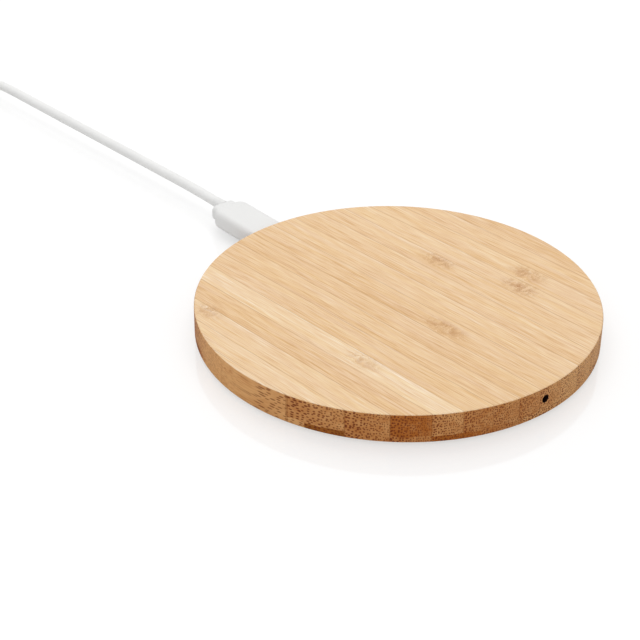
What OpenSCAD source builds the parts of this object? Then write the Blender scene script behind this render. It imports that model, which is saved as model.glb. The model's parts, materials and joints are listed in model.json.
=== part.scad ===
// Round wireless charging pad: a milled bamboo body with its electronics inside, on a detachable USB cable.
// The origin is on the floor under the middle of the pad. +Z is up, and +Y points to the plug and the cable.

/* [Bamboo body] */
// Outer diameter of the body
pad_d = 100; // [88:1:140]
// Height of the body
bamboo_h = 7.5; // [7.2:0.1:12]
// Radius of the small round on the outer edges
edge_round = 0.4; // [0.2:0.1:0.8]
// Bamboo left above the coil
top_skin = 1.5; // [1:0.1:2]
// Bamboo left outside the base plate
rim_wall = 3.4; // [2.5:0.1:6]
// Width of the ledge that the base plate is screwed to
ledge_w = 5; // [4.6:0.1:8]

/* [Base and foot] */
// Thickness of the base plate
plate_t = 1.2; // [1:0.1:1.6]
// Width of the foot ring
foot_w = 5; // [4.4:0.1:7]
// How far the foot ring stands out under the body
foot_proud = 0.9; // [0.5:0.1:2]
// How deep the foot ring sits in the base plate
foot_recess = 0.5; // [0.3:0.1:0.6]
// Number of base screws
base_screw_count = 4; // [3:1:8]
// Thread diameter of the base screws
base_screw_d = 2; // [1.6:0.1:2.2]
// Length of the base screws
base_screw_l = 4.6; // [3:0.1:5]

/* [Circuit board] */
// Thickness of the board
board_t = 0.8; // [0.6:0.1:1]
// Height of the bosses between the base plate and the board
boss_h = 0.5; // [0.4:0.1:0.8]
// Number of board screws
board_screw_count = 3; // [3:1:3]
// Thread diameter of the board screws
board_screw_d = 1.4; // [1.2:0.1:1.6]

/* [Coil] */
// Diameter of the coil's litz wire
wire_d = 1.1; // [0.8:0.1:1.3]
// Half turns of the coil
half_turns = 19; // [15:2:19]
// Radius of the innermost turn
coil_inner_r = 10.6; // [9:0.1:12]
// Thickness of the ferrite disc under the coil
ferrite_t = 0.8; // [0.5:0.1:1]

/* [Indicator] */
// Diameter of the bore in the side wall
led_bore_d = 2; // [1.6:0.1:2.4]
// Diameter of the lamp
led_d = 2; // [1.8:0.1:2.2]
// How far the clear rod ends inside the wall
pipe_recess = 3; // [1:0.1:4]

/* [Port and plug] */
// Width of the plug's metal shell
plug_w = 6.85; // [6.6:0.05:7]
// Height of the plug's metal shell
plug_h = 1.8; // [1.7:0.05:1.9]
// Length of the plug's metal shell in front of the moulding
plug_l = 6.4; // [6:0.1:6.8]
// How far the port's mouth sits inside the rim
port_recess = 0.8; // [0.4:0.1:1.4]
// Width of the plug's moulding
mould_w = 10.6; // [9:0.1:12]
// Height of the plug's moulding
mould_h = 5.3; // [4.6:0.1:6]
// Length of the plug's moulding
mould_l = 18.8; // [14:0.1:22]
// Diameter of the cable
cable_d = 2.8; // [2.6:0.1:3.2]

/* [Stored cable] */
// Diameter of the stored coil at the middle of its turns
store_d = 33; // [30:1:40]
// Turns in each of the two layers
store_turns = 4; // [3:1:5]
// Thickness of the ties around the stored coil
tie_t = 0.5; // [0.4:0.1:0.8]

/* [Hidden] */
$fn = 96;

// clearances
fit = 0.1;          // between pieces that drop into each other
snug = 0.02;        // round a thread or a glued rod
slack = 0.3;        // round parts that must never touch
cut = 1;            // how far a cut runs past a face

// radii of the body
pad_r = pad_d / 2;
plate_r = pad_r - rim_wall - fit;
pocket_r = pad_r - rim_wall - ledge_w;
board_r = pocket_r - 1;

// heights above the floor
body_z = foot_proud;
plate_z = body_z + plate_t;
board_z = plate_z + boss_h;
board_top = board_z + board_t;
body_top = body_z + bamboo_h;
roof_z = body_top - top_skin;

// foot ring and base screws, both centred on the ledge
ledge_mid_r = pocket_r + ledge_w / 2 - 0.6;
foot_mid_r = ledge_mid_r - 0.5;
foot_groove_z = body_z + foot_recess;
base_head_r = 0.9 * base_screw_d;
base_head_h = 0.35 * base_screw_d;

// board screws and their bosses
board_screw_r = board_r - 4;
board_screw_l = 2;
board_head_r = 0.85 * board_screw_d;
board_head_h = 0.5;
boss_r = board_screw_d / 2 + 1.4;

// coil stack, hung under the roof
coil_pitch = wire_d + fit;
coil_tape_t = 0.1;
coil_z = roof_z - coil_tape_t - wire_d / 2;
coil_end_r = coil_inner_r + (half_turns - 1) * coil_pitch / 2;
coil_outer_r = coil_end_r + coil_pitch / 2 + wire_d / 2;
ferrite_r = coil_outer_r + 1;
ferrite_top = coil_z - wire_d / 2;
ferrite_z = ferrite_top - ferrite_t;
lead_d = 0.6;
lead_z = ferrite_top - ferrite_t / 2;
lead_slot_w = 2;
lead_drop_r = ferrite_r + 1;
sensor_bore_r = 2.5;
part_ring_r = (ferrite_r + board_r) / 2;

// lamp, its bore and the clear rod
led_lift = 0.85;
led_z = board_top + led_lift + led_d / 2;
led_front = pocket_r - 0.2;
led_l = 3;
led_lead_w = 0.4;
pipe_start = pocket_r + 0.1;

// port
port_wall = 0.3;
port_gap = 0.075;                        // play between the plug and the port, all round
port_in_w = plug_w + 2 * port_gap;
port_in_h = plug_h + 2 * port_gap;
port_out_w = port_in_w + 2 * port_wall;
port_out_h = port_in_h + 2 * port_wall;
port_sink = 0.4;                         // how far the port sits below the board's top
plug_z = board_top - port_sink + port_out_h / 2;
port_front = pad_r - port_recess;
mould_face = pad_r + 0.3;
plug_tip = mould_face - plug_l;
port_back = plug_tip - 0.2;              // inner face of the port's back wall
port_bevel = 0.7;
wing_w = 1.2;
wing_t = 0.2;
notch_w = port_out_w + 2 * wing_w + 1;
notch_front = pad_r - 1.8;               // the bamboo in front of the notch
notch_top = plug_z + port_out_h / 2 + 0.2;
board_neck_w = notch_w - 0.6;

// inside the plug: contacts at their standard pitch, heights from the middle of the plug
plug_wall = 0.25;
plug_embed = 3;
contact_pitch = 0.65;
contact_w = 0.3;
contact_t = 0.1;
tongue_w = 3.8;
tongue_low = -0.3;
tongue_high = 0.15;
plug_contact_low = 0.3;
plug_roof_low = plug_contact_low + contact_t;

// latch springs of the plug
latch_x = 1.8;
latch_w = 0.7;
latch_t = 0.15;
latch_low = -0.6;                        // underside of the springs from the middle of the plug
latch_root = mould_face + 1.2;
latch_tooth_y = plug_tip + 1.6;
latch_tooth_l = 0.8;
latch_slot_w = latch_w + 0.2;

// moulding of the micro plug
mould_edge = 1.6;
mould_corner = 2.2;
neck_w = 0.7 * mould_w;
neck_h = 0.8 * mould_h;
neck_l = 2.4;
relief_l = 4;
cable_r = cable_d / 2;
relief_r = cable_r + 0.3;
cable_x = 0.9;                           // the cable leaves the neck off its middle, to the right
cable_z = plug_z + 0.375;                // and a little above it
neck_y = mould_face + mould_l;
relief_y = neck_y + neck_l;
cable_y = relief_y + relief_l;

// stored cable: two layers of turns, wound in and out again, resting on the ties
store_x = -26.3;
store_y = 199;
store_r = store_d / 2;
store_half_w = store_turns * cable_d / 2 + cable_r;
store_z = tie_t;
store_h = 2 * cable_d;
tail_x = store_x - store_r - (store_turns - 1) * cable_d / 2;
layer_z = [store_z + cable_r, store_z + 1.5 * cable_d];

// route of the cable from the plug to the stored coil, y measured from the plug's end
lead_route = [
  [cable_x, 0, cable_z], [cable_x, 6, cable_z], [0.75, 14, cable_z], [0.3, 24, cable_z],
  [-0.45, 40, cable_z], [-1.2, 56, cable_z], [-2, 72, cable_z], [-2.75, 88, cable_z],
  [-3.45, 103, 4.6], [-3.8, 110, 4.1], [-4.05, 116, 3], [-4.17, 120.5, 2.2], [-4.2, 124, 1.9]
];
tail_l = 16;
tail_route = [
  [tail_x, 0, layer_z[1]], [tail_x, -4, 4.6], [tail_x, -8, 4.1], [tail_x, -12, 3.9], [tail_x, -tail_l, 3.9]
];

// standard type A plug at the far end, lying flat with its tip towards the pad
a_w = 12;
a_h = 4.5;
a_wall = 0.3;
a_l = 12.5;
a_embed = 5;
a_mould_w = 15.6;
a_mould_h = 7.8;
a_mould_l = 20;
a_relief_l = 5;
a_z = a_mould_h / 2;
a_back = store_y - tail_l - a_relief_l;
a_face = a_back - a_mould_l;
a_tip = a_face - a_l;
a_contact_w = 1.2;
a_contact_x = [-3.5, -1, 1, 3.5];
a_block_h = 1.9;

// ---- shared shapes ----

// places its child at a radius and an angle around the pad's axis
module polar(r, a) {
  rotate([0, 0, a]) translate([r, 0, 0]) children();
}

// runs a flat outline, drawn in x and z, from one y to another
module run_y(from, to) {
  translate([0, to, 0]) rotate([90, 0, 0]) linear_extrude(to - from) children();
}

module box(w, d, h, x = 0, y = 0, z = 0) {
  translate([x - w / 2, y - d / 2, z]) cube([w, d, h]);
}

module disc(r, z, top) {
  translate([0, 0, z]) cylinder(r = r, h = top - z);
}

module ring(inner, outer, z, top) {
  difference() {
    disc(outer, z, top);
    disc(inner, z - cut, top + cut);
  }
}

// a rectangle with round corners
module round_rect(w, h, r) {
  square([w - 2 * r, h], center = true);
  square([w, h - 2 * r], center = true);
  for (sx = [-1, 1], sy = [-1, 1])
    translate([sx * (w / 2 - r), sy * (h / 2 - r)]) circle(r);
}

// the D-like outline of the port and its plug, wide side up
module port_outline(w, h, bevel) {
  polygon([
    [-w / 2, h / 2], [w / 2, h / 2], [w / 2, -h / 2 + bevel],
    [w / 2 - bevel, -h / 2], [-w / 2 + bevel, -h / 2], [-w / 2, -h / 2 + bevel]
  ]);
}

module port_run(from, to, w, h, bevel) {
  translate([0, 0, plug_z]) run_y(from, to) port_outline(w, h, bevel);
}

// a plain chip lying on the board
module chip(w, d, h, r, a) {
  polar(r, a) box(w, d, h, z = board_top);
}

// points of a smooth curve through a route, and a tube swept along them
function spline(p, i, t) =
  let(a = p[max(i - 1, 0)], b = p[i], c = p[i + 1], d = p[min(i + 2, len(p) - 1)])
  0.5 * (2 * b + (c - a) * t + (2 * a - 5 * b + 4 * c - d) * t * t + (3 * b - a - 3 * c + d) * t * t * t);

function smooth(p, steps) = [
  for (i = [0:len(p) - 2], s = [0:steps - 1]) spline(p, i, s / steps),
  p[len(p) - 1]
];

function tube_ring(p, i, r, sides) =
  let(
    way = p[min(i + 1, len(p) - 1)] - p[max(i - 1, 0)],
    side = cross(way, [0, 0, 1]) / norm(cross(way, [0, 0, 1])),
    up = cross(side, way) / norm(way)
  )
  [for (k = [0:sides - 1]) p[i] + r * (cos((k + 0.5) * 360 / sides) * side + sin((k + 0.5) * 360 / sides) * up)];

module tube(p, r, sides = 8) {
  last = (len(p) - 1) * sides;
  polyhedron(
    points = [for (i = [0:len(p) - 1]) each tube_ring(p, i, r, sides)],
    faces = [
      [for (k = [0:sides - 1]) k],
      [for (k = [0:sides - 1]) last + sides - 1 - k],
      for (i = [0:len(p) - 2], k = [0:sides - 1])
        let(a = i * sides + k, b = i * sides + (k + 1) % sides)
        each [[a, a + sides, b + sides], [a, b + sides, b]]
    ]
  );
}

// ---- bamboo body and base ----

// places its children at each base screw
module at_base_screws() {
  for (i = [0:base_screw_count - 1])
    polar(ledge_mid_r, (i + 0.5) * 360 / base_screw_count) children();
}

// places its children at each board screw
module at_board_screws() {
  for (i = [0:board_screw_count - 1])
    polar(board_screw_r, 60 + i * 360 / board_screw_count) children();
}

module bamboo_outline() {
  inner = pad_r - edge_round;
  translate([0, body_z]) square([inner, bamboo_h]);
  translate([0, body_z + edge_round]) square([pad_r, bamboo_h - 2 * edge_round]);
  for (z = [body_z + edge_round, body_top - edge_round])
    translate([inner, z]) circle(edge_round);
}

module bamboo_shell() {
  color("burlywood") difference() {
    rotate_extrude($fn = 180) bamboo_outline();
    disc(plate_r + fit, body_z - cut, plate_z);
    disc(pocket_r, plate_z - cut, roof_z);
    box(notch_w, notch_front - pocket_r + 3, notch_top - plate_z + cut,
        y = (notch_front + pocket_r - 3) / 2, z = plate_z - cut);
    port_run(notch_front - cut, pad_r + cut, port_out_w + 2 * fit, port_out_h + 2 * fit, port_bevel);
    translate([0, -pocket_r + cut, led_z]) rotate([90, 0, 0]) cylinder(d = led_bore_d, h = pad_r);
    at_base_screws() disc(base_screw_d / 2 + snug, plate_z - cut, foot_groove_z + base_screw_l + slack);
  }
}

module base_plate() {
  color("whitesmoke") difference() {
    union() {
      disc(plate_r, body_z, plate_z);
      at_board_screws() disc(boss_r, plate_z - fit, board_z);
    }
    ring(foot_mid_r - foot_w / 2 - fit, foot_mid_r + foot_w / 2 + fit, body_z - cut, foot_groove_z);
    at_base_screws() {
      disc(base_screw_d / 2 + fit, body_z, plate_z + cut);
      translate([0, 0, foot_groove_z])
        cylinder(r1 = base_head_r + snug, r2 = base_screw_d / 2 + snug, h = base_head_h);
    }
    at_board_screws() disc(board_screw_d / 2 + snug, board_top - board_screw_l - fit, board_z + cut);
  }
}

module foot_ring() {
  color("dimgray") ring(foot_mid_r - foot_w / 2, foot_mid_r + foot_w / 2, 0, foot_groove_z);
}

module base_screws() {
  color("silver") at_base_screws() difference() {
    union() {
      disc(base_screw_d / 2, foot_groove_z, foot_groove_z + base_screw_l);
      translate([0, 0, foot_groove_z]) cylinder(r1 = base_head_r, r2 = base_screw_d / 2, h = base_head_h);
    }
    for (a = [0, 90]) rotate([0, 0, a]) box(1.4, 0.3, base_head_h - 0.3 + cut, z = foot_groove_z - cut);
  }
}

// ---- board and what is on it ----

module circuit_board() {
  color("darkgreen") difference() {
    union() {
      disc(board_r, board_z, board_top);
      box(board_neck_w, notch_front - slack - pocket_r + 8, board_t,
          y = (notch_front - slack + pocket_r - 8) / 2, z = board_z);
    }
    box(port_out_w + 2 * fit, pad_r, board_t + 2 * cut,
        y = port_back - port_wall - fit + pad_r / 2, z = board_z - cut);
    at_board_screws() disc(board_screw_d / 2 + fit, board_z - cut, board_top + cut);
  }
}

module board_screws() {
  color("silver") at_board_screws() difference() {
    union() {
      disc(board_screw_d / 2, board_top - board_screw_l, board_top);
      disc(board_head_r, board_top, board_top + board_head_h);
    }
    for (a = [0, 90]) rotate([0, 0, a]) box(1.1, 0.25, cut, z = board_top + 0.2);
  }
}

module socket_shell() {
  wing_l = 2.4;
  wing_y = notch_front - slack - 0.3 - wing_l / 2;
  color("silver") {
    difference() {
      union() {
        port_run(port_back - port_wall, port_front, port_out_w, port_out_h, port_bevel);
        for (s = [-1, 1])
          box(wing_w + port_wall, wing_l, wing_t,
              x = s * (port_out_w + wing_w - port_wall) / 2, y = wing_y, z = board_top);
      }
      port_run(port_back, port_front + cut, port_in_w, port_in_h, port_bevel);
      box(tongue_w + 2 * fit, port_wall + 2 * cut, 1.2, y = port_back - port_wall / 2, z = plug_z - 0.6);
      for (s = [-1, 1])
        box(latch_w + 0.6, latch_tooth_l + 0.8, port_wall + 2 * fit, x = s * latch_x,
            y = latch_tooth_y, z = plug_z - port_out_h / 2 - fit);
    }
  }
}

module socket_tongue() {
  back = port_back - port_wall - 1;
  color("black") {
    box(tongue_w, port_front - 0.9 - back, tongue_high - tongue_low,
        y = (port_front - 0.9 + back) / 2, z = plug_z + tongue_low);
    box(tongue_w, 1, plug_z + tongue_low - board_top, y = back + 0.5, z = board_top);
  }
}

module socket_contacts() {
  back = port_back - port_wall - 1;
  color("gold") for (i = [-2:2]) {
    box(contact_w, port_front - 1.3 - back, contact_t, x = i * contact_pitch,
        y = (port_front - 1.3 + back) / 2, z = plug_z + tongue_high);
    box(contact_w, 0.2, plug_z + tongue_high + contact_t - board_top, x = i * contact_pitch,
        y = back - 0.1, z = board_top);
  }
}

module controller_chip() {
  color("dimgray") chip(5, 5, 0.85, part_ring_r, 32);
}

module power_mosfets() {
  color("dimgray") for (i = [0:3]) chip(3.3, 3.3, 0.8, part_ring_r, 204 + 11 * i);
}

module resonant_capacitors() {
  color("tan") for (i = [0:3]) chip(3.2, 2.5, 1.3, part_ring_r, 318 + 10 * i);
}

module input_capacitors() {
  color("tan") for (a = [78, 102]) chip(3.2, 2.5, 1.3, part_ring_r, a);
}

module filter_inductor() {
  color("dimgray") {
    chip(4, 4, 1.2, part_ring_r, 118);
    polar(part_ring_r, 118) disc(1.5, board_top + 1.2, board_top + 1.5);
  }
}

module crystal() {
  color("silver") chip(3.2, 2.5, 0.7, part_ring_r, 14);
}

module voltage_regulator() {
  color("dimgray") {
    chip(1.4, 2.9, 1.1, part_ring_r, 134);
    polar(part_ring_r, 134) for (y = [-0.95, 0.95]) box(2.6, 0.4, 0.15, y = y, z = board_top);
  }
}

module chip_resistors() {
  color("dimgray") for (i = [0:3], r = [-1.2, 1.2]) chip(1.6, 0.8, 0.45, part_ring_r + r * 1.5, 150 + 4 * i);
}

module indicator_led() {
  color("palegreen") translate([0, -led_front + led_d / 2, led_z]) rotate([90, 0, 0]) {
    sphere(d = led_d);
    translate([0, 0, -led_l]) cylinder(d = led_d, h = led_l);
  }
}

module led_leads() {
  back = -led_front + led_d / 2 + led_l;
  color("silver") for (s = [-1, 1]) {
    box(led_lead_w, 1, led_lead_w, x = s * 0.6, y = back + 0.5, z = led_z - led_lead_w / 2);
    box(led_lead_w, led_lead_w, led_z + led_lead_w / 2 - board_top, x = s * 0.6,
        y = back + 1 - led_lead_w / 2, z = board_top);
  }
}

module light_pipe() {
  color("aliceblue") translate([0, -pipe_start, led_z]) rotate([90, 0, 0])
    cylinder(d = led_bore_d - 2 * snug, h = pad_r - pipe_recess - pipe_start);
}

// ---- coil stack ----

module coil_spacer() {
  color("gray") difference() {
    ring(sensor_bore_r, ferrite_r, board_top, ferrite_z);
    box(ferrite_r + cut, lead_slot_w, ferrite_z - board_top + 2 * cut,
        x = (ferrite_r + cut) / 2 + coil_outer_r, z = board_top - cut);
    box(ferrite_r + cut, lead_slot_w, ferrite_z - board_top + 2 * cut,
        x = -(ferrite_r + cut) / 2 - coil_outer_r, z = board_top - cut);
  }
}

module ferrite_shield() {
  color("black") difference() {
    ring(sensor_bore_r, ferrite_r, ferrite_z, ferrite_top);
    box(ferrite_r + cut - coil_inner_r + lead_slot_w, lead_slot_w, ferrite_t + 2 * cut,
        x = (ferrite_r + cut + coil_inner_r - lead_slot_w) / 2, z = ferrite_z - cut);
    box(ferrite_r + cut - coil_end_r + lead_slot_w, lead_slot_w, ferrite_t + 2 * cut,
        x = -(ferrite_r + cut + coil_end_r - lead_slot_w) / 2, z = ferrite_z - cut);
  }
}

// a spiral of half rings: each next one is wider and starts where the last one ends
module transmit_coil() {
  color("chocolate") translate([0, 0, coil_z]) for (k = [0:half_turns - 1])
    translate([k % 2 * coil_pitch / 2, 0, 0]) rotate([0, 0, k % 2 * 180])
      rotate_extrude(angle = 180, $fn = 72)
        translate([coil_inner_r + k * coil_pitch / 2, 0]) circle(d = wire_d, $fn = 24);
}

module coil_tape() {
  color("ivory") ring(coil_inner_r - wire_d / 2, coil_outer_r, roof_z - coil_tape_t, roof_z);
}

// one lead from the inner end and one from the outer end, through the slots and down to the board
module coil_leads() {
  ends = [[0, coil_inner_r], [180, coil_end_r]];
  color("chocolate") for (e = ends) rotate([0, 0, e[0]]) {
    translate([e[1], 0, lead_z]) cylinder(d = lead_d, h = ferrite_top - lead_z);
    translate([e[1], 0, lead_z]) rotate([0, 90, 0]) cylinder(d = lead_d, h = lead_drop_r - e[1]);
    translate([lead_drop_r, 0, board_top]) cylinder(d = lead_d, h = lead_z - board_top);
    for (r = [e[1], lead_drop_r]) translate([r, 0, lead_z]) sphere(d = lead_d);
  }
}

module thermistor() {
  color("teal") disc(1, ferrite_top - 0.4, ferrite_top + 0.7);
}

module thermistor_leads() {
  color("silver") for (s = [-1, 1]) translate([s * 0.5, 0, board_top])
    cylinder(d = lead_d / 2, h = ferrite_top - 0.4 - board_top, $fn = 24);
}

// ---- plug at the pad's end of the cable ----

module micro_plug_overmold() {
  color("white") translate([0, 0, plug_z]) difference() {
    union() {
      intersection() {
        run_y(mould_face, neck_y) round_rect(mould_w, mould_h, mould_edge);
        translate([0, 0, -mould_h]) linear_extrude(2 * mould_h) translate([0, neck_y - mould_l])
          round_rect(mould_w, 2 * mould_l, mould_corner);
      }
      run_y(neck_y - cut, relief_y) round_rect(neck_w, neck_h, mould_edge);
      translate([cable_x, relief_y, cable_z - plug_z]) rotate([-90, 0, 0]) {
        translate([0, 0, -cut]) cylinder(r = relief_r, h = cut);
        cylinder(r1 = relief_r, r2 = cable_r + 0.15, h = relief_l);
      }
    }
    run_y(mould_face - cut, mould_face + plug_embed) port_outline(plug_w, plug_h, port_bevel);
  }
}

module micro_plug_shell() {
  color("silver") difference() {
    port_run(plug_tip, mould_face + plug_embed, plug_w, plug_h, port_bevel);
    port_run(plug_tip - cut, mould_face + plug_embed + cut,
             plug_w - 2 * plug_wall, plug_h - 2 * plug_wall, port_bevel - plug_wall);
    for (s = [-1, 1])
      box(latch_slot_w, latch_root - latch_tooth_y + latch_tooth_l, 2 * plug_wall, x = s * latch_x,
          y = (latch_root + latch_tooth_y - latch_tooth_l) / 2, z = plug_z - plug_h / 2 - plug_wall / 2);
  }
}

// fills the shell apart from the room for the latch springs, the port's tongue and the contacts
module micro_plug_insulator() {
  w = plug_w - 2 * plug_wall;
  h = plug_h - 2 * plug_wall;
  floor_low = latch_low + latch_t + 0.1;
  color("white") translate([0, 0, plug_z]) run_y(plug_tip + 0.2, mould_face + plug_embed) difference() {
    port_outline(w, h, port_bevel - plug_wall);
    translate([-w / 2, -h]) square([w, h + floor_low]);
    translate([-tongue_w / 2 - fit, -h]) square([tongue_w + 2 * fit, h + plug_roof_low]);
  }
}

module micro_plug_contacts() {
  color("gold") for (i = [-2:2])
    box(contact_w, mould_face + plug_embed - plug_tip - 0.6, contact_t, x = i * contact_pitch,
        y = (mould_face + plug_embed + plug_tip + 0.6) / 2, z = plug_z + plug_contact_low);
}

// two leaf springs with a tooth each, joined by a bar inside the moulding
module micro_plug_latch() {
  low = plug_z + latch_low;
  front = latch_tooth_y - latch_tooth_l / 2;
  color("gainsboro") {
    box(2 * latch_x + latch_w, 1, latch_t, y = latch_root, z = low);
    for (s = [-1, 1]) {
      box(latch_w, latch_root - front, latch_t, x = s * latch_x, y = (latch_root + front) / 2, z = low);
      box(latch_w, latch_tooth_l, latch_t + latch_low + plug_h / 2, x = s * latch_x,
          y = latch_tooth_y, z = plug_z - plug_h / 2);
    }
  }
}

// ---- cable and what is on it ----

module cable_lead() {
  color("white") translate([0, cable_y, 0]) tube(smooth(lead_route, 2), cable_r);
}

module cable_coil() {
  color("white") translate([store_x, store_y, 0]) rotate_extrude()
    translate([store_r, store_z + store_h / 2]) round_rect(2 * store_half_w, store_h, cable_r);
}

module cable_tail() {
  color("white") translate([0, store_y, 0]) tube(smooth(tail_route, 1), cable_r);
}

// two bands around the bundle of turns, on opposite sides
module cable_ties() {
  tie_l = 4;
  in_w = 2 * store_half_w + 2 * slack;
  color("lightgray") translate([store_x, store_y, 0]) for (a = [60, 240])
    rotate([0, 0, a]) translate([store_r, -tie_l / 2, 0]) difference() {
      box(in_w + 2 * tie_t, tie_l, store_h + 2 * tie_t, y = tie_l / 2);
      box(in_w, tie_l + 2 * cut, store_h, y = tie_l / 2, z = tie_t);
    }
}

module usb_a_overmold() {
  color("white") translate([tail_x, 0, a_z]) difference() {
    union() {
      intersection() {
        run_y(a_face, a_back) round_rect(a_mould_w, a_mould_h, 2);
        translate([0, 0, -a_mould_h]) linear_extrude(2 * a_mould_h) translate([0, a_back - a_mould_l])
          round_rect(a_mould_w, 2 * a_mould_l, 3);
      }
      translate([0, a_back - cut, 0]) rotate([-90, 0, 0]) cylinder(r = 2.6, h = cut);
      translate([0, a_back, 0]) rotate([-90, 0, 0]) cylinder(r1 = 2.6, r2 = cable_r + 0.2, h = a_relief_l);
    }
    run_y(a_face - cut, a_face + a_embed) square([a_w, a_h], center = true);
  }
}

module usb_a_shell() {
  color("silver") translate([tail_x, 0, a_z]) difference() {
    run_y(a_tip, a_face + a_embed) square([a_w, a_h], center = true);
    run_y(a_tip - cut, a_face + a_embed + cut) square([a_w - 2 * a_wall, a_h - 2 * a_wall], center = true);
    for (x = [-3, 3], z = [-1, 1]) box(2.4, 2, a_wall * 3, x = x, y = a_tip + 6.5, z = z * a_h / 2 - 1.5 * a_wall);
  }
}

module usb_a_insulator() {
  w = a_w - 2 * a_wall;
  color("white") translate([tail_x, 0, a_z - a_h / 2 + a_wall]) {
    box(w, a_face + a_embed - a_tip - 0.5, a_block_h, y = (a_face + a_embed + a_tip + 0.5) / 2);
    box(w, a_embed - 1, a_h - 2 * a_wall, y = a_face + 1 + (a_embed - 1) / 2);
  }
}

module usb_a_contacts() {
  color("gold") translate([tail_x, 0, a_z - a_h / 2 + a_wall + a_block_h]) for (x = a_contact_x)
    box(a_contact_w, a_l - 0.8, 0.15, x = x, y = a_tip + 1 + (a_l - 0.8) / 2);
}

bamboo_shell();
base_plate();
foot_ring();
base_screws();
circuit_board();
board_screws();
socket_shell();
socket_tongue();
socket_contacts();
controller_chip();
power_mosfets();
resonant_capacitors();
input_capacitors();
filter_inductor();
crystal();
voltage_regulator();
chip_resistors();
indicator_led();
led_leads();
light_pipe();
coil_spacer();
ferrite_shield();
transmit_coil();
coil_tape();
coil_leads();
thermistor();
thermistor_leads();
micro_plug_overmold();
micro_plug_shell();
micro_plug_insulator();
micro_plug_contacts();
micro_plug_latch();
cable_lead();
cable_coil();
cable_tail();
cable_ties();
usb_a_overmold();
usb_a_shell();
usb_a_insulator();
usb_a_contacts();
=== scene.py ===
"""Looks of the round bamboo charging pad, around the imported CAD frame. Metres, +Z up, +Y to the plug."""

import json
import math

import bmesh
import bpy
from mathutils import Matrix, Vector


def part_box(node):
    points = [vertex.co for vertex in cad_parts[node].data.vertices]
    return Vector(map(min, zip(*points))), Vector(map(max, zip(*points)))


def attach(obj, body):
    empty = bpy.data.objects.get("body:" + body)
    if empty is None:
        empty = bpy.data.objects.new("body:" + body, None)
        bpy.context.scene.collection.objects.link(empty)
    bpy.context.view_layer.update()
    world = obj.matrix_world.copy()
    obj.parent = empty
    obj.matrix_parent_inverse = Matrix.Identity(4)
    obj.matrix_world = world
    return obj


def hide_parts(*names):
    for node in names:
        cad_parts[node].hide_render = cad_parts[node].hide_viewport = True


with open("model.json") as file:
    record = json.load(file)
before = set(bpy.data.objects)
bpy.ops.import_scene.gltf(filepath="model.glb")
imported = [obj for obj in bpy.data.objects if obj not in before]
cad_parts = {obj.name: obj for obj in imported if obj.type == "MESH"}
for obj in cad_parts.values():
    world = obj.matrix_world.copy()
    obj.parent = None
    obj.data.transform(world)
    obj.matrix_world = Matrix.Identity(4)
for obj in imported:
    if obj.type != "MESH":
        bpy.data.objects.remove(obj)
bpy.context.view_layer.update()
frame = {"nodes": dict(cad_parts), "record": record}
MM = 0.001

# ---------------------------------------------------------------- sizes taken from the frame

SHELL_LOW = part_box("bamboo_shell")[0]
PLUG_LOW, PLUG_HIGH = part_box("micro_plug_overmold")
PLUG_Z = (PLUG_LOW.z + PLUG_HIGH.z) / 2
METAL_LOW, METAL_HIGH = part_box("micro_plug_shell")
COIL_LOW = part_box("cable_coil")[0]
TIES_LOW, TIES_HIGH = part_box("cable_ties")
A_LOW, A_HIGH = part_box("usb_a_overmold")
A_METAL_LOW, A_METAL_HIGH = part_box("usb_a_shell")
PIPE_LOW, PIPE_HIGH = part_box("light_pipe")

# ---------------------------------------------------------------- camera

CAMERA_LENS = 94.39            # mm, on a sensor 36 mm wide
CAMERA_AZIMUTH = -40.22        # degrees, 0 looks along +Y
CAMERA_TILT = 31.32            # degrees above the floor
CAMERA_ROLL = 0.62             # degrees
CAMERA_PLACE = (-0.2435, -0.2584, 0.2180)


def make_camera():
    azimuth, tilt = math.radians(CAMERA_AZIMUTH), math.radians(CAMERA_TILT)
    back = Vector((math.sin(azimuth) * math.cos(tilt), -math.cos(azimuth) * math.cos(tilt), math.sin(tilt)))
    right = Vector((math.cos(azimuth), math.sin(azimuth), 0))
    roll = Matrix.Rotation(math.radians(CAMERA_ROLL), 3, back)
    right, up = roll @ right, roll @ back.cross(right)
    data = bpy.data.cameras.new("camera")
    data.lens = CAMERA_LENS
    data.sensor_width = 36
    data.clip_start = 0.01
    data.clip_end = 20
    camera = bpy.data.objects.new("camera", data)
    bpy.context.scene.collection.objects.link(camera)
    basis = Matrix((right, up, back)).transposed().to_4x4()
    camera.matrix_world = Matrix.Translation(CAMERA_PLACE) @ basis
    bpy.context.scene.camera = camera


make_camera()

# ---------------------------------------------------------------- cable

CABLE_D = 2.8 * MM
CABLE_EXIT = PLUG_HIGH.y       # the plug's strain relief ends here
CABLE_X = 0.9 * MM             # it leaves the plug's neck off its middle
CABLE_Z = PLUG_Z + 0.375 * MM
STORE_X, STORE_Y = -26.3 * MM, 199 * MM
STORE_R = 16.5 * MM            # middle of the turns
STORE_TURNS = 4                # in each layer
TURN_STEPS = 40
STORE_OUT_R = STORE_R + STORE_TURNS * CABLE_D / 2
STORE_IN_R = STORE_R - STORE_TURNS * CABLE_D / 2
TIE_T = COIL_LOW.z             # the coil rests on the ties
LAYERS = (TIE_T + CABLE_D / 2, TIE_T + 1.5 * CABLE_D)

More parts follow.
